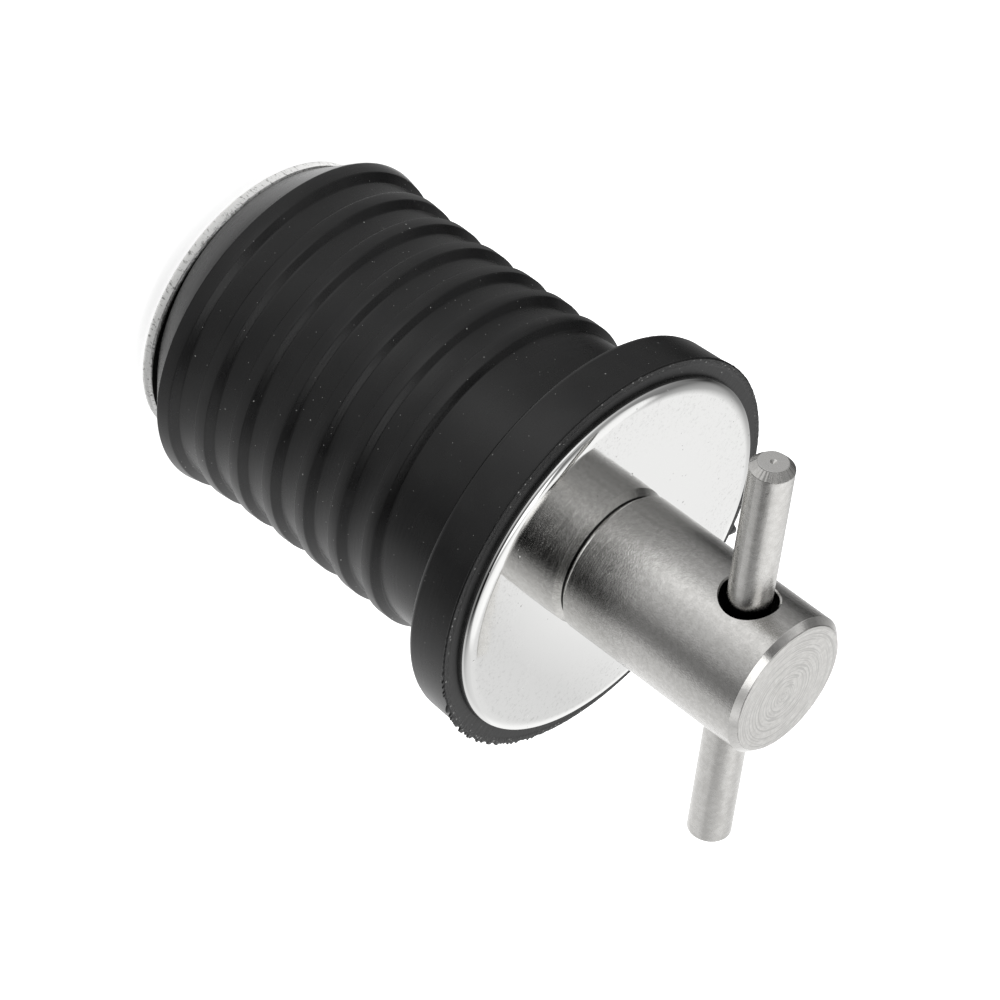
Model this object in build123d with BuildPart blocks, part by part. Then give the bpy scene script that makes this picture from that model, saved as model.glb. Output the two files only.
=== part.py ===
"""Expanding drain plug for a boat: a ribbed rubber sleeve squeezed between an end disc and a front washer
by a threaded stud, drawn up by a round handle barrel with a cross bar.

Millimetres and degrees. +Z runs along the plug's axis from the end disc to the handle. The origin is the
centre of the end disc's outer face, on which the plug stands, and the cross bar lies along X.
"""
import os
from math import exp, radians, tan

from build123d import *

os.makedirs("parts", exist_ok=True)

# End disc and stud
disc_dia = 23.0
disc_thickness = 1.0
disc_edge_chamfer = 0.2
stud_dia = 6.0
stud_tip_chamfer = 0.6
stud_engagement = 5.0
peen_chamfer = 0.5
peen_recess = 0.1

# Rubber plug: sleeve, ribs and flange
sleeve_length = 30.3
neck_dia = 24.3
neck_length = 6.1
rib_dia = 25.4
rib_count = 7
rib_pitch = 3.32
rib_land = 1.0
rib_flank = 0.43
nose_dia = 23.1
end_swell = 0.75
end_swell_reach = 3.4
end_slope = 1.8
end_slope_azimuth = 10.0
end_gap = 0.03
flange_dia = 31.5
flange_thickness = 3.8
flange_draft = 3.0
flange_back_chamfer = 0.35
flash_height = 0.2
flash_width = 0.3

# Front washer
washer_dia = 28.8
washer_thickness = 0.8
washer_edge_chamfer = 0.25

# Handle barrel
barrel_dia = 11.0
barrel_length = 16.5
barrel_end_chamfer = 0.5
barrel_base_chamfer = 0.5
drill_point_angle = 118.0
tap_drill_dia = 5.0
mouth_dia = 4.2
mouth_depth = 1.9
mouth_chamfer = 0.12

# Cross bar
bar_dia = 3.2
bar_length = 35.5
bar_inset = 4.5
bar_chamfer = 0.55
centre_mark_dia = 0.5
centre_mark_depth = 0.2

# Travel and clearances
draw_travel = 3.0
stud_clearance = 0.3
thread_clearance = 0.05
tip_clearance = 0.6
bar_clearance = 0.02

# Levels along the axis
sleeve_end_z = disc_thickness
flange_back_z = sleeve_end_z + sleeve_length
flange_front_z = flange_back_z + flange_thickness
washer_face_z = flange_front_z + washer_thickness
barrel_end_z = washer_face_z + barrel_length
bar_z = barrel_end_z - bar_inset
stud_tip_z = washer_face_z + stud_engagement
bore_depth = stud_engagement + draw_travel + tip_clearance

stud_bore_radius = stud_dia / 2 + stud_clearance

# End disc, a stamped round plate with the stud's hole countersunk on the outer face
with BuildPart() as end_disc:
    with BuildSketch(Plane.XY):
        Circle(disc_dia / 2)
        Circle(stud_dia / 2, mode=Mode.SUBTRACT)
    extrude(amount=disc_thickness)
    rims = end_disc.edges().filter_by(GeomType.CIRCLE).group_by(SortBy.RADIUS)
    chamfer(rims[0].sort_by(Axis.Z)[0], peen_chamfer)
    chamfer(end_disc.edges().filter_by(GeomType.CIRCLE).group_by(SortBy.RADIUS)[-1], disc_edge_chamfer)
end_disc.part.label = "end_disc"
export_step(end_disc.part, "parts/end_disc.step")

# Stud, peened into the disc's countersink and left just short of the face that the plug stands on
with BuildPart() as threaded_stud:
    with BuildSketch(Plane.XZ):
        with BuildLine():
            Polyline(
                (0, peen_recess),
                (stud_dia / 2 + peen_chamfer - peen_recess, peen_recess),
                (stud_dia / 2, peen_chamfer),
                (stud_dia / 2, stud_tip_z - stud_tip_chamfer),
                (stud_dia / 2 - stud_tip_chamfer, stud_tip_z),
                (0, stud_tip_z),
                close=True,
            )
        make_face()
    revolve(axis=Axis.Z)
threaded_stud.part.label = "threaded_stud"
export_step(threaded_stud.part, "parts/threaded_stud.step")

# Ribs, from the neck down to the nose: a flat land between two short flanks. The last rib's lower flank is
# the long lead-in cone.
rib_tops = [flange_back_z - neck_length - i * rib_pitch for i in range(rib_count)]
nose_land_z = rib_tops[-1] - rib_flank - rib_land


def fading(z):
    """A share that is 1 at the nose and dies away towards the neck."""
    return exp((nose_land_z - z) / end_swell_reach)


def swell(z):
    """How far the squeezed sleeve bulges past its moulded radius at this height, and nothing at the neck."""
    return end_swell * (fading(z) - fading(rib_tops[0]))


# The plug's section, from the bore round the nose and up the ribs to the flange and its moulding flash
outline = [(stud_bore_radius, flange_front_z), (stud_bore_radius, sleeve_end_z), (nose_dia / 2, sleeve_end_z)]
for top in reversed(rib_tops):
    land_top = top - rib_flank
    land_low = land_top - rib_land
    low = land_low - rib_flank
    if top != rib_tops[-1]:
        outline.append((neck_dia / 2 + swell(low), low))
    outline.append((rib_dia / 2 + swell(land_low), land_low))
    outline.append((rib_dia / 2 + swell(land_top), land_top))
    outline.append((neck_dia / 2 + swell(top), top))
flange_back_dia = flange_dia - 2 * flange_thickness * tan(radians(flange_draft))
flash_dia = flange_dia + 2 * flash_height
outline += [
    (neck_dia / 2, flange_back_z),
    (flange_back_dia / 2, flange_back_z),
    (flange_dia / 2, flange_front_z - flash_width),
    (flash_dia / 2, flange_front_z - flash_width / 2),
    (flange_dia / 2, flange_front_z),
]

# Rubber plug: the section turned about the axis. Its end is cut on a slight slant, because the slack
# rubber touches the end disc on one side and gapes on the other.
with BuildPart() as rubber_plug:
    with BuildSketch(Plane.XZ) as plug_section:
        with BuildLine():
            Polyline(outline, close=True)
        make_face()
        back_corner = (flange_back_dia / 2, flange_back_z)
        chamfer(plug_section.vertices().sort_by_distance(back_corner)[0], flange_back_chamfer)
    revolve(axis=Axis.Z)
    touch_point = Vector(nose_dia / 2, 0, sleeve_end_z + end_gap).rotate(Axis.Z, end_slope_azimuth)
    end_normal = Vector(0, 0, 1).rotate(Axis.Y, end_slope).rotate(Axis.Z, end_slope_azimuth)
    split(bisect_by=Plane(origin=touch_point, z_dir=end_normal), keep=Keep.TOP)
rubber_plug.part.label = "rubber_plug"
export_step(rubber_plug.part, "parts/rubber_plug.step")

# Front washer, with its outer edge broken by polishing
with BuildPart() as front_washer:
    with BuildSketch(Plane.XY.offset(flange_front_z)):
        Circle(washer_dia / 2)
        Circle(stud_bore_radius, mode=Mode.SUBTRACT)
    extrude(amount=washer_thickness)
    top_rims = front_washer.edges().filter_by(GeomType.CIRCLE).group_by(Axis.Z)[-1]
    chamfer(top_rims.sort_by(SortBy.RADIUS)[-1], washer_edge_chamfer)
front_washer.part.label = "front_washer"
export_step(front_washer.part, "parts/front_washer.step")

# Handle barrel: a turned bar with a blind threaded bore, and a cross hole that grips the cross bar at its
# middle and opens into a wider mouth at each side
with BuildPart() as handle_barrel:
    with BuildSketch(Plane.XY.offset(washer_face_z)):
        Circle(barrel_dia / 2)
    extrude(amount=barrel_length)
    base_rim, end_rim = handle_barrel.edges().filter_by(GeomType.CIRCLE).sort_by(Axis.Z)
    chamfer(base_rim, barrel_base_chamfer)
    chamfer(end_rim, barrel_end_chamfer)
    bore_top_z = washer_face_z + bore_depth
    point_height = tap_drill_dia / 2 / tan(radians(drill_point_angle / 2))
    thread_bore_radius = stud_dia / 2 + thread_clearance
    with BuildSketch(Plane.XZ):
        with BuildLine():
            Polyline(
                (0, washer_face_z),
                (thread_bore_radius, washer_face_z),
                (thread_bore_radius, bore_top_z),
                (tap_drill_dia / 2, bore_top_z),
                (0, bore_top_z + point_height),
                close=True,
            )
        make_face()
    revolve(axis=Axis.Z, mode=Mode.SUBTRACT)
    with BuildSketch(Plane.YZ):
        with Locations((0, bar_z)):
            Circle(bar_dia / 2 + bar_clearance)
    extrude(amount=barrel_dia, both=True, mode=Mode.SUBTRACT)
    for side in (1, -1):
        with BuildSketch(Plane.YZ.offset(side * (barrel_dia / 2 - mouth_depth))):
            with Locations((0, bar_z)):
                Circle(mouth_dia / 2)
        extrude(amount=side * barrel_dia, mode=Mode.SUBTRACT)
    barrel_side = handle_barrel.faces().filter_by(GeomType.CYLINDER).sort_by(SortBy.AREA)[-1]
    seam_and_ends = (GeomType.LINE, GeomType.CIRCLE)
    chamfer([edge for edge in barrel_side.edges() if edge.geom_type not in seam_and_ends], mouth_chamfer)
handle_barrel.part.label = "handle_barrel"
export_step(handle_barrel.part, "parts/handle_barrel.step")

# Cross bar, chamfered and centre-marked at both ends
with BuildPart() as t_bar:
    with BuildSketch(Plane.YZ):
        with Locations((0, bar_z)):
            Circle(bar_dia / 2)
    extrude(amount=bar_length / 2, both=True)
    bar_rims = t_bar.edges().filter_by(GeomType.CIRCLE)
    chamfer(bar_rims, bar_chamfer)
    for side in (1, -1):
        with BuildSketch(Plane.XZ):
            with BuildLine():
                Polyline(
                    (side * bar_length / 2, bar_z),
                    (side * bar_length / 2, bar_z + centre_mark_dia / 2),
                    (side * (bar_length / 2 - centre_mark_depth), bar_z),
                    close=True,
                )
            make_face()
        revolve(axis=Axis((0, 0, bar_z), (1, 0, 0)), mode=Mode.SUBTRACT)
t_bar.part.label = "t_bar"
export_step(t_bar.part, "parts/t_bar.step")
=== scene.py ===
# %% [markdown]
# An expanding drain plug closes the drain tube of a boat. Turning the handle draws the end disc towards the
# front washer, and the ribbed rubber sleeve between them shortens and swells until it grips the tube.
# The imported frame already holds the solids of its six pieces. This file gives each one its finish, and
# remakes the rubber, the stud and the washer, whose fine forms are too small for the solids.

# %% Load the frame
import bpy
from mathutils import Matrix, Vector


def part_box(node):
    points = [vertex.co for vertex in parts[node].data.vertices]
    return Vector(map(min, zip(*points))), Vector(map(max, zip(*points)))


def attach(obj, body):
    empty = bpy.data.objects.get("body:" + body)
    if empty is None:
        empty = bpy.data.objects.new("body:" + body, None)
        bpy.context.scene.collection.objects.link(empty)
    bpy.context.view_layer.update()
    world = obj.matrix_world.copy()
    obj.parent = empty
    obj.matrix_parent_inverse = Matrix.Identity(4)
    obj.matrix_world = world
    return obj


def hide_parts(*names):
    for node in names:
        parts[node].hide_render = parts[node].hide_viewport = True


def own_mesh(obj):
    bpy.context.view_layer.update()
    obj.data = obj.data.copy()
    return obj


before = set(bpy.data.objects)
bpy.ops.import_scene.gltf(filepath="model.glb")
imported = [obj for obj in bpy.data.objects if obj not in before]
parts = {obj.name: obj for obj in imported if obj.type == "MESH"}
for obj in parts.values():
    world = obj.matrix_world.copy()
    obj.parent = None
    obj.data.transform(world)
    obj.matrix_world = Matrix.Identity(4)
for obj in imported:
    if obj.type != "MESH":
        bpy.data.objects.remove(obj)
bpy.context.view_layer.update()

from math import cos, pi, radians, sin, tan

import bpy
from mathutils import Matrix, Vector

scene = bpy.context.scene
MM = 0.001
print("frame:", ", ".join(sorted(parts)))

# %% [markdown]
# The camera comes first, because every finish is judged through it. A long lens far from a small part keeps
# its circles nearly round, as a product photographer would. The camera is aimed from an azimuth and an
# elevation about a point near the plug's middle, and then rolled, because the photograph shows the plug
# lying across the picture although it stands upright here.

# %% The camera
view_azimuth = radians(40.0)
view_elevation = radians(27.97)
view_roll = radians(126.47)
view_distance = 342 * MM
view_aim = Vector((5.81, 6.64, 30.60)) * MM

backward = Vector((
    cos(view_elevation) * cos(view_azimuth),
    cos(view_elevation) * sin(view_azimuth),
    sin(view_elevation),
))
level_right = Vector((-sin(view_azimuth), cos(view_azimuth), 0))
level_up = backward.cross(level_right)
right = level_right * cos(view_roll) + level_up * sin(view_roll)
up = level_up * cos(view_roll) - level_right * sin(view_roll)

camera = bpy.data.objects.new("camera", bpy.data.cameras.new("camera"))
camera.data.lens = 180
camera.data.sensor_width = 36
camera.data.clip_start = 10 * MM
camera.data.clip_end = 10
camera.matrix_world = Matrix.Translation(view_aim + backward * view_distance) @ Matrix(
    (right, up, backward)).transposed().to_4x4()
scene.collection.objects.link(camera)
scene.camera = camera
scene.view_settings.view_transform = "Standard"
print("camera", [round(x / MM, 1) for x in camera.location], "mm")

# %% [markdown]
# A material or a Geometry Nodes tree is a sum of nodes, and it reads best when it is written like a sum.
# A wire holds one output socket. Adding, subtracting, multiplying or dividing wires adds Math nodes, and
# add() makes any other node in the same tree. Plain numbers stay numbers until they meet a wire.

# %% Wires


def fill_inputs(node, inputs):
    """Gives a node's inputs their values or wires. A list of wires goes into one socket that takes many."""
    for key, given in inputs.items():
        for value in given if isinstance(given, list) else [given]:
            if isinstance(value, Wire):
                node.id_data.links.new(value.socket, node.inputs[key])
            else:
                node.inputs[key].default_value = value


class Wire:
    """One output socket of a node tree, which can be used in sums and can start other nodes."""

    def __init__(self, socket):
        self.socket = socket

    def add(self, kind, settings=None, inputs=None, output=0):
        """Adds a node to this wire's tree, its settings first, and gives the wire of one of its outputs, or
        nothing for the node that ends a tree."""
        node = self.socket.id_data.nodes.new(kind)
        for name, value in (settings or {}).items():
            if name == "stops":
                set_stops(node.color_ramp, value)
            else:
                setattr(node, name, value)
        fill_inputs(node, inputs or {})
        return Wire(node.outputs[output]) if node.outputs else None

    def other(self, output):
        """Another output of the node that this wire comes from."""
        return Wire(self.socket.node.outputs[output])

    def math(self, operation, *values):
        """A Math node whose first value is this wire."""
        return self.add("ShaderNodeMath", {"operation": operation}, dict(enumerate((self, *values))))

    def __add__(self, value):
        return self.math("ADD", value)

    def __sub__(self, value):
        return self.math("SUBTRACT", value)

    def __rsub__(self, value):
        return self.math("MULTIPLY_ADD", -1.0, value)

    def __mul__(self, value):
        return self.math("MULTIPLY", value)

    def __truediv__(self, value):
        return self.math("DIVIDE", value)

    __radd__ = __add__
    __rmul__ = __mul__

    def rise(self, low, high):
        """0 up to low, 1 from high on, and a smooth rise between them. It falls if low is the larger."""
        return self.add("ShaderNodeMapRange", {"interpolation_type": "SMOOTHSTEP"},
                        {"Value": self, "From Min": low, "From Max": high})

    def stretched(self, x, y, z):
        """A vector with each of its parts multiplied."""
        return self.add("ShaderNodeVectorMath", {"operation": "MULTIPLY"}, {0: self, 1: (x, y, z)})

    def parts(self):
        """The x, y and z wires of a vector."""
        x = self.add("ShaderNodeSeparateXYZ", inputs={0: self})
        return x, x.other(1), x.other(2)

    def polar(self):
        """The distance from the Z axis, the turn round it in degrees, and the height."""
        x, y, z = self.parts()
        return (x * x + y * y).math("SQRT"), y.math("ARCTAN2", x) * (180 / pi), z

    def noise(self, scale, detail=2.0, roughness=0.5):
        """Soft random values round 0.5 on this vector, scale of them to the millimetre."""
        return self.add("ShaderNodeTexNoise", inputs={
            "Vector": self, "Scale": scale, "Detail": detail, "Roughness": roughness})

    def spots(self, scale, size, share):
        """Small random spots on this vector: 1 at the middle of each and 0 from its size on, in
        millimetres. Only a share of the cells holds a spot."""
        cell = self.add("ShaderNodeTexVoronoi", inputs={"Vector": self, "Scale": scale})
        draw, _, _ = cell.other("Color").parts()
        return cell.rise(size * scale, 0.0) * draw.math("LESS_THAN", share)


def set_stops(ramp, stops):
    """Sets a colour ramp's stops from (place, grey) pairs."""
    while len(ramp.elements) < len(stops):
        ramp.elements.new(1.0)
    for element, (place, grey) in zip(ramp.elements, stops):
        element.position = place
        element.color = (grey, grey, grey, 1)


print("wires ready")


def start_finish(name):
    """Starts a material: gives it with the wire of its Object coordinates, in millimetres."""
    material = bpy.data.materials.new(name)
    material.use_nodes = True
    place = Wire(material.node_tree.nodes.new("ShaderNodeTexCoord").outputs["Object"])
    return material, place.stretched(1 / MM, 1 / MM, 1 / MM)


def end_finish(material, inputs):
    """Feeds the material's main shader and says how many nodes the finish took."""
    tree = material.node_tree
    fill_inputs(tree.nodes["Principled BSDF"], inputs)
    print("finish", material.name, len(tree.nodes), "nodes")
    return material


def relief(height):
    """The wire of a surface normal that follows a height in millimetres."""
    return height.add("ShaderNodeBump", inputs={"Height": height, "Distance": MM})


def blend(share, first, second):
    """A colour between two, each a wire or a plain colour."""
    mix = {"data_type": "RGBA"}
    colour = {key: value if isinstance(value, Wire) else (*value, 1) for key, value in
              (("first", first), ("second", second))}
    return share.add("ShaderNodeMix", mix, {0: share, 6: colour["first"], 7: colour["second"]}, 2)


# %% [markdown]
# The real plug was lit in a white light tent and cut out on white. Here a grey floor glows a little, so
# that the open floor comes out white and the plug's shadow stays faint. More lamp light would whiten the
# floor too, but the shadow would grow darker with it. The glow is seen by the camera and in mirrors only,
# so it adds no light to the plug.

# %% The floor


def plane(name, width, height):
    """A flat rectangle round the origin, facing up."""
    mesh = bpy.data.meshes.new(name)
    x, y = width / 2, height / 2
    mesh.from_pydata([(-x, -y, 0), (x, -y, 0), (x, y, 0), (-x, y, 0)], [], [(0, 1, 2, 3)])
    piece = bpy.data.objects.new(name, mesh)
    scene.collection.objects.link(piece)
    return piece


def seen_straight(tree):
    """A wire that is 1 for the camera's rays and for mirrored and refracted ones, and 0 for lighting."""
    path = Wire(tree.nodes.new("ShaderNodeLightPath").outputs["Is Camera Ray"])
    mirrored = path.other("Is Glossy Ray")
    refracted = path.other("Is Transmission Ray")
    return path.math("MAXIMUM", mirrored).math("MAXIMUM", refracted)


floor_grey = 0.5
floor_glow = 0.70

floor = plane("floor", 4.0, 4.0)
paper = bpy.data.materials.new("white_paper_floor")
paper.use_nodes = True
paper.node_tree.nodes.clear()
seen = seen_straight(paper.node_tree)
diffuse = seen.add("ShaderNodeBsdfDiffuse", inputs={"Color": (floor_grey, floor_grey, floor_grey, 1)})
glow = seen.add("ShaderNodeEmission", inputs={"Strength": seen * floor_glow})
both = seen.add("ShaderNodeAddShader", inputs={0: diffuse, 1: glow})
both.add("ShaderNodeOutputMaterial", inputs={"Surface": both})
floor.data.materials.append(paper)
print("floor", floor_grey, "grey with a glow of", floor_glow)

# %% [markdown]
# The world is the rest of the white room. It is pure white where it is seen and a little darker where it
# lights, so that the lamps still give the plug a bright side and a shaded one. A picture of a real studio
# could take its place, but it would bring shapes of its own into the metal.

# %% The world
world_fill = 0.8

world = bpy.data.worlds.new("white_room")
scene.world = world
world.use_nodes = True
seen = seen_straight(world.node_tree)
background = world.node_tree.nodes["Background"]
fill_inputs(background, {"Color": (1, 1, 1, 1), "Strength": seen.math("MAXIMUM", world_fill)})
print("world fill", world_fill)

# %% [markdown]
# Bare metal is only as good as what it mirrors, so the tent matters more than the lamps. It is a round
# wall with a lid and a ground sheet, seen by mirror rays only. Each piece of the plug mirrors its own zone
# of it: the handle's side the lower wall, the washer the upper wall, the chamfers and the cross bar the
# lid, the rubber the sheet, the cone at the nose the sheet close by, and the end disc's rim the sheet's
# inner edge. The zones are bands of grey by azimuth, in degrees from +X towards +Y, and they blend into
# each other, because soft cloth has no hard edges. A picture wrapped round the plug would do the same, but
# bands can be moved one by one until each piece shows the light and dark of the real one.

# %% The reflecting tent
tent_radius = 50 * MM
tent_height = 130 * MM
sheet_hole = 11.6 * MM
sheet_height = 0.2 * MM
lid_hole = 0.1 * MM
tent_sides = 96
lower_wall = [(-150, 1.0), (-130, 1.0), (-106, 0.28), (-80, 0.03), (-58, 0.22), (-12, 0.50), (14, 1.0),
              (38, 0.64), (62, 0.44), (84, 0.18), (108, 0.26), (116, 0.52), (134, 0.66), (180, 0.90)]
upper_wall = [(-165, 0.78), (-152, 0.72), (-144, 0.90), (-122, 0.90), (-106, 0.42), (-80, 0.18),
              (-34, 0.26), (12, 0.42), (40, 0.15), (66, 0.04), (90, 0.0), (106, 0.02), (118, 0.20),
              (134, 0.42), (158, 0.65), (180, 0.75)]
roof = [(-170, 1.05), (-140, 1.0), (-118, 1.0), (-78, 0.95), (-58, 0.75), (-33, 0.36), (-1, 0.16),
        (12, 0.24), (20, 1.4), (62, 1.4), (86, 1.1), (96, 0.50), (113, 0.50), (138, 0.90), (165, 1.0)]
ground = [(-150, 0.80), (-130, 1.0), (-112, 0.40), (-100, 0.16), (-60, 0.36), (14, 0.66), (60, 0.40),
          (86, 0.42), (110, 0.60), (134, 0.86), (160, 0.90), (180, 0.84)]
near_ground = [(-176, 0.60), (-110, 1.3), (-50, 1.3), (-30, 1.25), (-10, 1.0), (14, 0.40), (38, 0.17),
               (56, 0.16), (74, 0.26), (100, 0.62), (130, 0.85), (158, 0.70)]
disc_ground = [(-176, 0.45), (-106, 1.32), (-82, 1.36), (-34, 1.32), (-10, 1.1), (14, 0.92), (38, 0.80),
               (62, 0.65), (86, 0.56), (110, 0.49), (134, 0.75), (158, 0.52)]
upper_from = 50 * MM
roof_from = 88 * MM
near_reach = 17 * MM
near_blend = 2 * MM
disc_reach = 12.6 * MM
disc_blend = 0.3 * MM
blend_reach = 7 * MM


def ring(radius, height):
    """Points round the Z axis, one at each of the tent's sides."""
    turns = [2 * pi * i / tent_sides for i in range(tent_sides)]
    return [(radius * cos(turn), radius * sin(turn), height) for turn in turns]


def bands(azimuth, stops):
    """The brightness at an azimuth, from a few stops that go once round the tent."""
    share = azimuth / 360 + 0.5
    return share.add("ShaderNodeValToRGB", {"stops": [((turn + 180) / 360, grey) for turn, grey in stops]},
                     {"Fac": share})


rings = (ring(sheet_hole, sheet_height) + ring(tent_radius, sheet_height) + ring(tent_radius, tent_height)
         + ring(lid_hole, tent_height))
sides = [(i + row * tent_sides, (i + 1) % tent_sides + row * tent_sides) for row in (0, 1, 2)
         for i in range(tent_sides)]
tent = bpy.data.objects.new("light_tent", bpy.data.meshes.new("light_tent"))
tent.data.from_pydata(rings, [], [(a, b, b + tent_sides, a + tent_sides) for a, b in sides])
scene.collection.objects.link(tent)
for kind in ("camera", "diffuse", "shadow", "transmission", "volume_scatter"):
    setattr(tent, "visible_" + kind, False)

cloth = bpy.data.materials.new("tent_cloth")
cloth.use_nodes = True
cloth.node_tree.nodes.clear()
spread, azimuth, z = Wire(cloth.node_tree.nodes.new("ShaderNodeTexCoord").outputs["Object"]).polar()
upper = z.rise(upper_from - blend_reach, upper_from + blend_reach)
lid = z.rise(roof_from - blend_reach, roof_from + blend_reach)
near = spread.rise(near_reach + near_blend, near_reach - near_blend)
nearest = spread.rise(disc_reach + disc_blend, disc_reach - disc_blend)
wall = blend(upper, bands(azimuth, lower_wall), bands(azimuth, upper_wall))
wall = blend(lid, wall, bands(azimuth, roof))
sheet = blend(near, bands(azimuth, ground), bands(azimuth, near_ground))
sheet = blend(nearest, sheet, bands(azimuth, disc_ground))
whole = blend(z.math("LESS_THAN", MM), wall, sheet)
light = whole.add("ShaderNodeEmission", inputs={"Color": whole})
light.add("ShaderNodeOutputMaterial", inputs={"Surface": light})
tent.data.materials.append(cloth)
print("tent of", len(tent.data.polygons), "faces")

# %% [markdown]
# Two large square soft boxes do the lighting, both high over the plug and at opposite sides of it. The
# stronger one gives it a bright side, and the weaker one only opens up the shade. Small lamps could do it
# too, but their shadows would have hard edges. The boxes are hidden from mirror rays, because the metal
# should show the tent and not two bright squares.

# %% The lamps
lamp_distance = 0.45
lamp_target = 25 * MM
lamp_size = 0.35


def lamp(name, azimuth, elevation, power):
    """A square soft box that looks at the plug's middle."""
    light = bpy.data.lights.new(name, "AREA")
    light.size = lamp_size
    light.energy = power
    piece = bpy.data.objects.new(name, light)
    a, e = radians(azimuth), radians(elevation)
    out = Vector((cos(a) * cos(e), sin(a) * cos(e), sin(e)))
    piece.location = Vector((0, 0, lamp_target)) + out * lamp_distance
    piece.rotation_euler = out.to_track_quat("Z", "Y").to_euler()
    piece.visible_glossy = False
    scene.collection.objects.link(piece)
    print("lamp", name, azimuth, elevation, power, "W")


lamp("soft_box_over_nose", azimuth=165, elevation=50, power=2.6)
lamp("soft_box_over_handle", azimuth=-40, elevation=60, power=1.2)

# %% [markdown]
# Geometry Nodes suit a turned or moulded piece: its section is a short list of corners, and the rest
# follows a rule. A few helpers do what each tree needs. One starts a tree with named inputs, and one ends
# it. One turns a section about the axis, by sweeping it round a circle. The last runs the finished tree on
# a mesh and keeps the result as a plain mesh, so that nothing is left to evaluate when the plug is posed.

# %% Geometry Nodes helpers
lathe_ring = 10.0


def start_tree(name, sizes):
    """Starts a Geometry Nodes tree whose inputs are a geometry, a material and the given sizes."""
    tree = bpy.data.node_groups.new(name, "GeometryNodeTree")
    tree.interface.new_socket("Geometry", in_out="OUTPUT", socket_type="NodeSocketGeometry")
    tree.interface.new_socket("Geometry", in_out="INPUT", socket_type="NodeSocketGeometry")
    tree.interface.new_socket("Material", in_out="INPUT", socket_type="NodeSocketMaterial")
    for label, value in sizes.items():
        kind = "NodeSocketInt" if isinstance(value, int) else "NodeSocketFloat"
        tree.interface.new_socket(label, in_out="INPUT", socket_type=kind)
    group = tree.nodes.new("NodeGroupInput")
    return tree, {socket.name: Wire(socket) for socket in group.outputs if socket.name}


def end_tree(shape, material):
    """Makes the shape real, smooth and in metres, gives it its material and ends the tree."""
    real = shape.add("GeometryNodeRealizeInstances", inputs={0: shape})
    metres = real.add("GeometryNodeTransform", inputs={0: real, "Scale": (MM, MM, MM)})
    smooth = metres.add("GeometryNodeSetShadeSmooth", inputs={0: metres})
    dressed = smooth.add("GeometryNodeSetMaterial", inputs={0: smooth, "Material": material})
    dressed.add("NodeGroupOutput", inputs={0: dressed})


def position(wire):
    """The x, y and z wires of each point, in the tree of a wire."""
    return wire.add("GeometryNodeInputPosition").parts()


def vector(x, y, z):
    """Joins three numbers or wires, the first of them a wire, to a vector."""
    return x.add("ShaderNodeCombineXYZ", inputs={0: x, 1: y, 2: z})


def turned(section, around):
    """Turns a closed section about the Z axis: a curve with its radius in x and its height in z."""
    x, _, z = position(section)
    flat = section.add("GeometryNodeSetPosition", inputs={
        0: section, "Position": vector(x - lathe_ring, -1 * z, 0)})
    circle = flat.add("GeometryNodeCurvePrimitiveCircle", inputs={
        "Resolution": around, "Radius": lathe_ring})
    return flat.add("GeometryNodeCurveToMesh", inputs={"Curve": circle, "Profile Curve": flat})


def grown(tree, name, mesh, values, material):
    """Runs a tree on a mesh and gives an object that holds the result as a plain mesh."""
    piece = bpy.data.objects.new(name, mesh)
    nodes = piece.modifiers.new(tree.name, "NODES")
    nodes.node_group = tree
    for item in tree.interface.items_tree:
        if item.in_out == "INPUT" and item.name in values:
            nodes[item.identifier] = values[item.name]
        if item.name == "Material":
            nodes[item.identifier] = material
    flats = piece.modifiers.new("flat faces stay flat", "WEIGHTED_NORMAL")
    flats.weight = 100
    scene.collection.objects.link(piece)
    done = piece.evaluated_get(bpy.context.evaluated_depsgraph_get())
    plain = bpy.data.meshes.new_from_object(done)
    plain.name = name
    plain.polygons.foreach_set("material_index", [0] * len(plain.polygons))
    plain.materials.clear()
    plain.materials.append(material)
    piece.modifiers.clear()
    piece.data = plain
    print(name, len(plain.polygons), "faces of", material.name)
    return piece


print("helpers ready")

# %% [markdown]
# The rubber is one moulding: a flange, a smooth neck, seven ribs and a lead-in cone, with a bore for the
# stud. A rib is four corners, and the same four are copied down the sleeve. Each corner is rounded by its
# own radius, and the light lines along the ribs come from these small roundings. Loops of mesh code could
# do all this, but in a tree the count, the pitch and the swell are sizes that someone can change and see.

# %% The rubber's sizes and section
flange_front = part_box("rubber_plug")[1].z / MM
sleeve_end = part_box("end_disc")[1].z / MM
nose_radius = 11.55
neck_radius = 12.15
rib_radius = 12.7
rib_count = 7
rib_pitch = 3.32
rib_land = 1.0
rib_flank = 0.43
rib_underside = 0.22
first_rib = 25.2
bore_radius = 3.3
flange_radius = 15.75
flange_back_radius = 15.55
flange_thickness = 3.8
flash_foot_radius = 15.62
flash_tip_radius = 15.80

FLANGE, RIB, NOSE, FLASH = 0, 1, 2, 3
section = [
    # radius, height, rounding, part
    (bore_radius, flange_front, 0.0, FLANGE),
    (flange_radius, flange_front, 0.06, FLANGE),
    (flange_back_radius, flange_front - flange_thickness, 0.5, FLANGE),
    (neck_radius, flange_front - flange_thickness, 0.35, FLANGE),
    (neck_radius, first_rib, 0.22, RIB),
    (rib_radius, first_rib - rib_flank, 0.22, RIB),
    (rib_radius, first_rib - rib_flank - rib_land, 0.13, RIB),
    (neck_radius, first_rib - rib_flank - rib_land - rib_underside, 0.20, RIB),
    (nose_radius, sleeve_end, 0.18, NOSE),
    (bore_radius, sleeve_end, 0.0, NOSE),
    (flash_foot_radius, flange_front - 0.02, 0.0, FLASH),
    (flash_tip_radius, flange_front - 0.06, 0.0, FLASH),
    (flash_tip_radius, flange_front - 0.14, 0.0, FLASH),
    (flash_foot_radius, flange_front - 0.28, 0.0, FLASH),
]


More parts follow.
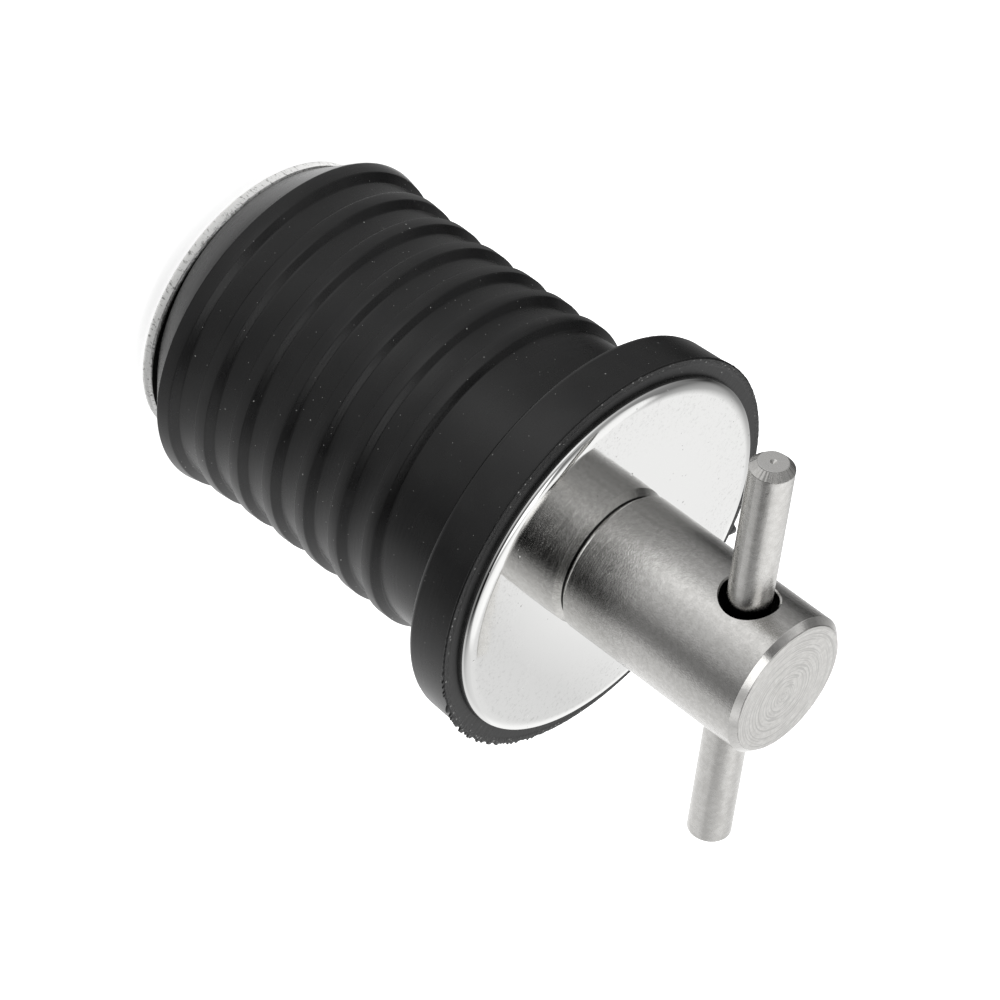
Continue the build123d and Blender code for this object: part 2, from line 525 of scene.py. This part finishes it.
def corners_mesh(name, rows):
    """Loose points with their rounding and part, for a tree to read."""
    mesh = bpy.data.meshes.new(name)
    mesh.from_pydata([(radius, 0, height) for radius, height, _, _ in rows], [], [])
    for label, kind, column in (("rounding", "FLOAT", 2), ("part", "INT", 3)):
        values = mesh.attributes.new(label, kind, "POINT")
        values.data.foreach_set("value", [row[column] for row in rows])
    return mesh


print("rubber section of", len(section), "corners, flange front at", round(flange_front, 2), "mm")

# %% [markdown]
# The tree builds the section first and turns it last. It splits the corners by part, copies the rib's four
# down the sleeve, and pushes the copies out near the nose, where the slack rubber swells. The finished
# skin could be pushed out instead, but its small roundings would be drawn out of shape. The last corner of
# the last rib goes, because the cone starts there. Each corner gets a number, which keeps them in line
# when they are joined to one curve.

# %% The rubber's tree
sleeve_sizes = {
    "Rib Count": rib_count,
    "Rib Pitch": rib_pitch,
    "First Rib": first_rib,
    "Nose Land": first_rib - (rib_count - 1) * rib_pitch - rib_flank - rib_land,
    "End Swell": 0.75,
    "Swell Reach": 3.4,
    "End Slope": tan(radians(4.3)),
    "End Gap": 0.03,
    "Unevenness": 0.05,
    "Around": 256,
    "Flash Around": 1800,
    "Flash Height": 0.20,
    "Flash Teeth": 2.3,
    "Seed": 3.0,
}
sleeve_tree, size = start_tree("ribbed_sleeve", sleeve_sizes)


def attribute(wire, name, kind="FLOAT"):
    """The wire of a value that is stored on each point."""
    return wire.add("GeometryNodeInputNamedAttribute", {"data_type": kind}, {"Name": name})


def only(geometry, part):
    """The corners of one part of the section."""
    number = attribute(geometry, "part", "INT")
    same = {"data_type": "INT", "operation": "EQUAL"}
    chosen = number.add("FunctionNodeCompare", same, {2: number, 3: part})
    return geometry.add("GeometryNodeSeparateGeometry", inputs={0: geometry, "Selection": chosen})


def numbered(geometry, first):
    """Stores each corner's place in the order of the outline."""
    order = geometry.add("GeometryNodeInputIndex") + first
    return geometry.add("GeometryNodeStoreNamedAttribute", {"data_type": "FLOAT", "domain": "POINT"}, {
        0: geometry, "Name": "order", "Value": order})


def outline(corners):
    """Joins loose corners to one closed curve in their stored order, and rounds each by its radius."""
    points = corners.add("GeometryNodeMeshToPoints", inputs={0: corners})
    order = attribute(points, "order")
    curve = points.add("GeometryNodePointsToCurves", inputs={0: points, "Weight": order})
    closed = curve.add("GeometryNodeSetSplineCyclic", inputs={0: curve, "Cyclic": True})
    return closed.add("GeometryNodeFilletCurve", {"mode": "POLY"}, {
        0: closed, "Count": 3, "Radius": attribute(closed, "rounding"), "Limit Radius": True})


geometry = size["Geometry"]
rib_corners = 4
rib = only(geometry, RIB)
starts = rib.add("GeometryNodeMeshLine", {"mode": "OFFSET"}, {
    "Count": size["Rib Count"], "Offset": vector(0 * size["Rib Pitch"], 0, -1 * size["Rib Pitch"])})
copies = starts.add("GeometryNodeInstanceOnPoints", inputs={"Points": starts, "Instance": rib})
ribs = copies.add("GeometryNodeRealizeInstances", inputs={0: copies})


def fading(z):
    """A share that is 1 at the nose and dies away towards the neck."""
    power = (size["Nose Land"] - z) / size["Swell Reach"]
    return power.math("EXPONENT")


_, _, z = position(ribs)
swell = size["End Swell"] * (fading(z) - fading(size["First Rib"]))
ribs = ribs.add("GeometryNodeSetPosition", inputs={0: ribs, "Offset": vector(swell, 0, 0)})
index = ribs.add("GeometryNodeInputIndex")
last = index.math("COMPARE", size["Rib Count"] * rib_corners - 1, 0.5)
ribs = ribs.add("GeometryNodeDeleteGeometry", inputs={0: ribs, "Selection": last})

corners = [numbered(only(geometry, FLANGE), 0), numbered(ribs, 100), numbered(only(geometry, NOSE), 1000)]
sleeve = turned(outline(ribs.add("GeometryNodeJoinGeometry", inputs={0: corners})), size["Around"])
print("sleeve tree:", len(sleeve_tree.nodes), "nodes so far")

# %% [markdown]
# Two things make the moulding look like soft rubber and not like a turned rod. Its end is slack, so the
# nose touches the disc on one side and gapes on the other, and its skin is a little uneven. Both are moves
# of finished points: the end's points rise by a slope, and the rest follow a slow noise.

# %% The slack end and the uneven skin
slope_azimuth = radians(10.0)
end_skin = 0.3

x, y, z = position(sleeve)
along = x * cos(slope_azimuth) + y * sin(slope_azimuth)
gap = size["End Gap"] + size["End Slope"] * (nose_radius - along)
at_end = z.math("LESS_THAN", sleeve_end + end_skin)
lift = vector(0 * gap, 0, gap * at_end)
sleeve = sleeve.add("GeometryNodeSetPosition", inputs={0: sleeve, "Offset": lift})

place = sleeve.add("GeometryNodeInputPosition")
x, y, z = place.parts()
ribbed = z.rise(first_rib + 4, first_rib) * z.rise(sleeve_end + 0.8, sleeve_end + 2.4)
wave = place.stretched(1, 1, 1.6).noise(0.11, 1.0) - 0.5
push = size["Unevenness"] * 2 * wave * ribbed / nose_radius
outward = vector(x * push, y * push, 0)
sleeve = sleeve.add("GeometryNodeSetPosition", inputs={0: sleeve, "Offset": outward})
print("slack end slopes", round(sleeve_sizes["End Slope"], 4))

# %% [markdown]
# A mould leaves a thin lip of rubber, the flash, round the flange's front edge. On the real plug it was
# torn off by hand, so it is ragged along a sixth of the rim, and one thin chip is left on the far side.
# Teeth painted on would vanish at the outline, where they are seen best. So the lip is a ring of its own,
# with far more points round the axis than the sleeve, and noise pulls its tip out.

# %% The torn flash
torn_from, torn_to = 97, 165
chip_azimuth = -115

lip = turned(outline(numbered(only(geometry, FLASH), 0)), size["Flash Around"])
place = lip.add("GeometryNodeInputPosition")
x, y, _ = place.parts()
spread, azimuth, _ = place.polar()
torn = azimuth.rise(torn_from - 4, torn_from + 8) * azimuth.rise(torn_to + 4, torn_to - 8)
chip = azimuth.rise(chip_azimuth - 1.2, chip_azimuth - 0.4) * azimuth.rise(chip_azimuth + 2.8, chip_azimuth)
seeded = vector(x, y, size["Seed"])
teeth = seeded.noise(size["Flash Teeth"], 0.0).rise(0.34, 0.70) * (0.45 + seeded.noise(0.6, 0.0))
ragged = 0.12 * teeth + torn * teeth + 3.6 * chip
tip = spread.math("GREATER_THAN", flange_radius)
reach = size["Flash Height"] * ragged * tip / flange_radius
outward = vector(x * reach, y * reach, 0)
lip = lip.add("GeometryNodeSetPosition", inputs={0: lip, "Offset": outward})

end_tree(sleeve.add("GeometryNodeJoinGeometry", inputs={0: [sleeve, lip]}), size["Material"])
print("sleeve tree:", len(sleeve_tree.nodes), "nodes")

# %% [markdown]
# The rubber's finish is a matt black that is only grey where light grazes it. Its colour is mostly the
# mirror of the white tent on a rough skin, so the base colour is nearly black. Dust, mould streaks and the
# ground front face are small changes on top.

# %% The rubber's finish
rubber_black = (0.004, 0.004, 0.0042)
rubber_grey = (0.016, 0.016, 0.016)
dust_grey = (0.34, 0.34, 0.33)


def black_rubber():
    """Matt moulded rubber with dust, mould streaks and a rough front rim."""
    material, place = start_finish("black_rubber")
    spread, azimuth, z = place.polar()
    front = z.rise(flange_front - 0.06, flange_front - 0.02)
    rays = vector(azimuth * 0.6, spread * 0.25, 0).noise(1.0, 3.0, 0.6)
    clouds = place.noise(0.35, 3.0)
    dust = place.spots(0.9, 0.08, 0.25).math("MAXIMUM", place.spots(2.4, 0.045, 0.22))
    rim = front * spread.rise(flange_radius - 0.55, flange_radius - 0.25)
    speckle = place.spots(3.2, 0.10, 0.35) * rim
    base = blend(clouds.rise(0.35, 0.75) * 0.25 + front * rays * 0.3, rubber_black, rubber_grey)
    base = blend(dust.math("MAXIMUM", speckle * 0.6), base, dust_grey)
    grain = place.noise(7.0, 3.0, 0.6)
    streaks = place.stretched(0.35, 0.35, 5.0).noise(1.0, 2.0)
    height = grain * 0.004 + streaks * 0.008 + rim * place.noise(6.0, 2.0) * 0.08 + front * rays * 0.02
    return end_finish(material, {
        "Base Color": base,
        "Roughness": 0.22 + 0.10 * clouds + front * 0.18,
        "Specular IOR Level": 0.5,
        "Normal": relief(height),
    })


rubber_corners = corners_mesh("rubber_corners", section)
rubber = grown(sleeve_tree, "ribbed_rubber_plug", rubber_corners, sleeve_sizes, black_rubber())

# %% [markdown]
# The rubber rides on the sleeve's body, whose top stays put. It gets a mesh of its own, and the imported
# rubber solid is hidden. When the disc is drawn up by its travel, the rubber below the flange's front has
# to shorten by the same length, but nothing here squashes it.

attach(rubber, "sleeve")
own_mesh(rubber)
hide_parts("rubber_plug")

# %% [markdown]
# The stud is hidden in the sleeve, and only its peened end shows under the disc. It is still a real screw:
# its thread is a cylinder whose radius follows the phase of the helix, which is the height over the pitch
# less the angle over a turn. A swept thread would need its start and end closed by hand, while the phase
# can simply fade out at both ends.

# %% The stud's tree
stud_low, stud_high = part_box("threaded_stud")
stud_sizes = {
    "Major Radius": 3.0,
    "Thread Depth": 0.6,
    "Thread Start": 9.0,
    "Pitch": 1.0,
    "Peen Flare": 0.4,
    "Point Chamfer": 0.6,
    "Low End": stud_low.z / MM,
    "Tip": stud_high.z / MM,
    "Around": 36,
    "Rings": 326,
}
stud_tree, size = start_tree("stud_thread", stud_sizes)
length = size["Tip"] - size["Low End"]
rod = length.add("GeometryNodeMeshCylinder", {"fill_type": "TRIANGLE_FAN"}, {
    "Vertices": size["Around"],
    "Side Segments": size["Rings"],
    "Radius": size["Major Radius"],
    "Depth": length,
})
x, y, z = position(rod)
height = z + length / 2
phase = z / size["Pitch"] - y.math("ARCTAN2", x) / (2 * pi)
wave = (phase.math("FRACT") * 2 - 1).math("ABSOLUTE")
threaded = (height.rise(size["Thread Start"], size["Thread Start"] + 1.5)
            * height.rise(length - 0.2, length - 1.4))
groove = size["Thread Depth"] * wave.rise(0.15, 0.85) * threaded
peened = (size["Peen Flare"] - height).math("MAXIMUM", 0)
pointed = (height - length + size["Point Chamfer"]).math("MAXIMUM", 0)
push = (peened - groove - pointed) / size["Major Radius"]
move = vector(x * push, y * push, length / 2 + size["Low End"])
rod = rod.add("GeometryNodeSetPosition", inputs={0: rod, "Offset": move})
end_tree(rod, size["Material"])
print("stud tree:", len(stud_tree.nodes), "nodes")

# %% [markdown]
# Five metal pieces, five finishes. All are the same stainless steel, and what tells them apart is how each
# was worked: the washer is polished, the disc is only stamped, the handle is turned and brushed, the cross
# bar is drawn and dull, and the stud is a plain bought screw.

# %% Steel


def streaks_round(place, along_axis, across):
    """Noise drawn out round the Z axis: fine up the axis and across the radius, long round it."""
    spread, azimuth, z = place.polar()
    turn = azimuth.math("RADIANS").math("SINE")
    return vector(spread * across, z * along_axis, turn).noise(1.0, 3.0, 0.65)


def scratches(place, scale, width, stretch):
    """Thin random scratches on a drawn-out vector, 1 in the scratch."""
    lines = place.stretched(*stretch).noise(scale, 2.0, 0.4)
    return (lines - 0.5).math("ABSOLUTE").rise(width, 0.0)


print("steel helpers ready")

# %% [markdown]
# The stud is bought and not made for the plug, so its steel is plain: a middle grey, a little mottled, with
# no direction to its marks. Nothing more is worth doing for a piece that hardly shows.

# %% The screw
screw_pale = (0.50, 0.49, 0.47)
screw_dark = (0.38, 0.37, 0.35)


def screw_steel():
    """The plain steel of a bought screw, a little mottled."""
    material, place = start_finish("screw_steel_finish")
    mottle = place.noise(1.4, 4.0)
    return end_finish(material, {
        "Base Color": blend(mottle.rise(0.3, 0.7), screw_dark, screw_pale),
        "Metallic": 1.0,
        "Roughness": 0.30 + 0.2 * mottle,
        "Normal": relief(place.noise(12.0, 2.0) * 0.004),
    })


stud = grown(stud_tree, "screw_stud", bpy.data.meshes.new("stud_start"), stud_sizes, screw_steel())
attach(stud, "drawbolt")
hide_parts("threaded_stud")

# %% [markdown]
# The washer is mirror bright, with the small pits and hairlines of cheap polishing. The mirror must stay
# crisp enough to show the handle standing on it, so the marks are sparse and shallow: a dent in the bump
# and a grey dot for each pit, hairlines in the bump alone, and a faint grey where the outer zone is worn.

# %% The washer's finish
washer_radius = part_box("front_washer")[1].x / MM
polished_pale = (0.93, 0.93, 0.92)
pit_grey = (0.36, 0.36, 0.35)


def polished_steel():
    """Mirror-polished stainless sheet with fine pits, hairlines and a hazy rim."""
    material, place = start_finish("polished_steel_finish")
    spread, _, _ = place.polar()
    haze = place.noise(0.25, 3.0)
    pits = place.spots(0.8, 0.13, 0.22).math("MAXIMUM", place.spots(2.2, 0.055, 0.12))
    hair = scratches(place, 0.9, 0.006, (1, 3, 1)) * place.noise(0.3, 1.0).rise(0.5, 0.7)
    waves = place.noise(0.5, 1.0)
    height = waves * 0.006 - pits * 0.03 - hair * 0.001
    dull = haze.rise(0.35, 0.8) * spread.rise(7.0, 13.0)
    outer_zone = spread.rise(8.0, 13.0) * spread.rise(washer_radius - 0.5, washer_radius - 1.0)
    worn = place.noise(3.5, 4.0, 0.7).rise(0.50, 0.75) * outer_zone
    shade = (pits * 0.8).math("MAXIMUM", 0.35 * worn)
    return end_finish(material, {
        "Base Color": blend(shade, polished_pale, pit_grey),
        "Metallic": 1.0,
        "Roughness": 0.045 + 0.06 * dull + 0.2 * pits,
        "Normal": relief(height),
    })


print("washer of", round(washer_radius, 2), "mm radius")

# %% [markdown]
# The real washer was stamped, so its front edge rolls over in a wide soft curve, and that curve draws the
# bright double line round the mirror. The solid has a small chamfer there. The section is worked out here:
# a flat face, a quarter of a flat ellipse, a short wall and the flat back, turned by the same helper as the
# rubber.

# %% The rolled washer
washer_back = flange_front
washer_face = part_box("front_washer")[1].z / MM
roll_reach = 1.05
roll_depth = 0.5
roll_steps = 9

quarter = [radians(90 * step / roll_steps) for step in range(roll_steps + 1)]
rolled_edge = [(washer_radius - roll_reach * (1 - sin(turn)), washer_face - roll_depth * (1 - cos(turn)))
               for turn in quarter]
washer_corners = [(bore_radius, washer_face), *rolled_edge, (washer_radius, washer_back),
                  (bore_radius, washer_back)]
washer_section = [(radius, height, 0.0, 0) for radius, height in washer_corners]

washer_sizes = {"Around": 256}
washer_tree, size = start_tree("rolled_washer", washer_sizes)
end_tree(turned(outline(numbered(size["Geometry"], 0)), size["Around"]), size["Material"])
washer = grown(washer_tree, "polished_washer", corners_mesh("washer_corners", washer_section), washer_sizes,
               polished_steel())
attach(washer, "sleeve")
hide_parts("front_washer")

# %% [markdown]
# The handle barrel was turned and then brushed by hand. Its side still mirrors clearly, so the bands of the
# tent keep their edges, and the brushing is fine grain and short rings in the bump. Its end face was faced
# off, which leaves arcs round a point beside the middle, because the bar ran a little out of true. The bump
# also rounds the foot of the barrel over. Shade is painted black in two places: a thin line where the
# barrel stands on the washer, and the inside of the cross hole's mouth, where no light reaches.

# %% The handle's finish
barrel_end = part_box("handle_barrel")[1].z / MM
bar_z = (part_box("t_bar")[0].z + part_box("t_bar")[1].z) / 2 / MM
mouth_reach = 2.3
barrel_skin = 5.3
contact_line = 0.11
foot_height = 0.5
barrel_chamfer = 0.51
whorl_offset = (0.5, -0.35, 0)
turned_pale = (0.80, 0.79, 0.77)
turned_dark = (0.66, 0.65, 0.63)
arc_grey = (0.40, 0.40, 0.39)
# painted shade: the black of the hole's mouth and of the line where the barrel stands on the washer
recess_shade_black = (0.025, 0.025, 0.024)


def turned_steel():
    """Turned and brushed bar: rings of fine marks on the side, the tool's whorl on the end face, and
    painted shade in the hole's mouth and at the foot.
    """
    material, place = start_finish("turned_steel_finish")
    spread, _, z = place.polar()
    end_face = z.rise(barrel_end - 0.06, barrel_end - 0.03)
    off = place.add("ShaderNodeVectorMath", {"operation": "ADD"}, {0: place, 1: whorl_offset})
    whorl = streaks_round(off, 0.0, 6.5)
    rings = streaks_round(place, 7.0, 0.0)
    short = scratches(place, 1.0, 0.02, (0.35, 0.35, 7.0))
    grain = place.noise(8.0, 2.0, 0.7)
    mottle = place.noise(2.4, 4.0, 0.7)
    chamfer_from = barrel_end - barrel_chamfer
    chamfers = z.rise(chamfer_from - 0.02, chamfer_from + 0.02) * (1 - end_face)
    side = (rings * 0.0006 + grain * 0.018 - short * 0.0015) * (1 - 0.8 * chamfers)
    rounding = (z - washer_face).math("MINIMUM", foot_height) * -0.55
    height = side * (1 - end_face) + end_face * (whorl * 0.05 + grain * 0.012) + rounding
    arcs = end_face * whorl.rise(0.50, 0.58)
    # painted shade: the inside of the cross hole's mouth is coloured black, because no light reaches it
    beside_hole = (z - bar_z).math("ABSOLUTE").math("LESS_THAN", mouth_reach)
    mouth = spread.rise(barrel_skin, barrel_skin - 0.2) * beside_hole
    # painted shade: a thin black line at the foot, where the barrel stands on the washer
    contact_shade = z.rise(washer_face + contact_line, washer_face + contact_line - 0.04)
    steel = blend(mottle.rise(0.3, 0.75) - 0.7 * arcs + 0.5 * chamfers, turned_dark, turned_pale)
    steel = blend(0.35 * arcs, steel, arc_grey)
    return end_finish(material, {
        "Base Color": blend(mouth.math("MAXIMUM", contact_shade), steel, recess_shade_black),
        "Metallic": 1.0,
        "Roughness": 0.10 + 0.03 * rings + 0.04 * mottle + 0.16 * end_face,
        "Normal": relief(height),
    })


print("barrel from", round(washer_face, 2), "to", round(barrel_end, 2), "mm")

# %% [markdown]
# The cross bar is drawn rod, tumbled until it is nearly white. It shows no clear mirror image, only a soft
# mottle. Its end chamfers keep the cutting tool's radial marks in the bump, and darker patches painted on
# them stand in for dark glints. Inside the barrel it is painted black as shade, like the mouth it leaves.

# %% The cross bar's finish
bar_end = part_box("t_bar")[1].x / MM
bar_end_chamfer = 0.55
drawn_pale = (0.80, 0.79, 0.77)
drawn_dark = (0.66, 0.65, 0.63)
bar_face_pale = (0.93, 0.92, 0.90)
shade_black = (0.03, 0.03, 0.03)


def drawn_steel():
    """Pale drawn rod, mottled from tumbling, long marks along X, and radial marks and painted dark glints
    at its ends.
    """
    material, place = start_finish("drawn_steel_finish")
    x, y, z = place.parts()
    out = x.math("ABSOLUTE")
    height_off = z - bar_z
    away = (y * y + height_off * height_off).math("SQRT")
    chamfer_from = bar_end - bar_end_chamfer
    ends = out.rise(chamfer_from - 0.02, chamfer_from + 0.02) * away.rise(1.05, 1.12)
    cut = vector(y.math("ARCTAN2", height_off) * 2.2, x.math("SIGN"), 0).noise(1.0, 2.0, 0.7)
    # painted shade: the part of the bar inside the barrel is coloured black
    hidden = out.rise(barrel_skin + 0.5, barrel_skin)
    mottle = place.noise(1.8, 5.0, 0.65)
    drawn = place.stretched(0.4, 6.0, 6.0).noise(1.0, 3.0)
    dents = place.spots(1.3, 0.16, 0.3)
    height = mottle * 0.016 + drawn * 0.005 - dents * 0.008 + ends * cut * 0.16
    steel = blend(mottle.rise(0.3, 0.75), drawn_dark, drawn_pale)
    steel = blend(out.rise(bar_end - 0.03, bar_end - 0.01), steel, bar_face_pale)
    # painted reflection and shade: darker patches on the end chamfers stand in for their dark glints, and
    # the bar inside the barrel is painted shade; the tool marks themselves are in the bump
    shade = hidden.math("MAXIMUM", ends * cut.rise(0.55, 0.66) * 0.55)
    return end_finish(material, {
        "Base Color": blend(shade, steel, shade_black),
        "Metallic": 1.0,
        "Roughness": 0.22 + 0.10 * mottle,
        "Normal": relief(height),
    })


print("cross bar reaches", round(bar_end, 2), "mm to each side")

# %% [markdown]
# The end disc is stamped sheet and the cheapest piece. Its flat face is brushed one way. Its rim is where
# the press tore through the sheet: bright metal with dark flecks, and rough. The face against the rubber is
# painted black as shade, so the gap under the slack end shows as a dark line.

# %% The end disc's finish
disc_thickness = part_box("end_disc")[1].z / MM
disc_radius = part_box("end_disc")[1].x / MM
stamped_pale = (0.74, 0.74, 0.73)
fleck_grey = (0.26, 0.26, 0.255)
# painted shade for the face of the disc that lies against the rubber
gap_shade_black = (0.012, 0.012, 0.012)


def stamped_steel():
    """Stamped sheet: a flat brushed face, a bright rim with dark flecks, and painted shade on the face
    against the rubber.
    """
    material, place = start_finish("stamped_steel_finish")
    spread, _, z = place.polar()
    rim = spread.rise(disc_radius - 0.25, disc_radius - 0.1)
    mottle = place.noise(2.2, 4.0, 0.65)
    flecks = place.stretched(1, 1, 0.5).noise(4.0, 3.0, 0.7).rise(0.52, 0.70) * rim
    # painted shade: the face against the rubber is coloured black, so the gap under the slack end reads
    # dark
    inner = z.rise(disc_thickness - 0.03, disc_thickness - 0.01)
    brushed = place.stretched(0.3, 5.0, 1.0).noise(1.0, 3.0)
    torn = place.stretched(5.0, 5.0, 0.6).noise(1.0, 2.0, 0.6)
    height = rim * (mottle * 0.03 + torn * 0.05) + (1 - rim) * brushed * 0.008
    steel = blend(flecks, stamped_pale, fleck_grey)
    return end_finish(material, {
        "Base Color": blend(inner, steel, gap_shade_black),
        "Metallic": 1.0,
        "Roughness": 0.22 + 0.2 * mottle + 0.3 * inner,
        "Normal": relief(height),
    })


print("disc of", round(disc_radius, 2), "mm radius,", round(disc_thickness, 2), "mm thick")

# %% [markdown]
# Three solids keep their own mesh, because their shape is already right. They only need the finish, which
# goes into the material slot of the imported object.

# %% Dress the solids
for node, finish in (("handle_barrel", turned_steel), ("t_bar", drawn_steel), ("end_disc", stamped_steel)):
    parts[node].data.materials.clear()
    parts[node].data.materials.append(finish())
    print(node, "dressed")
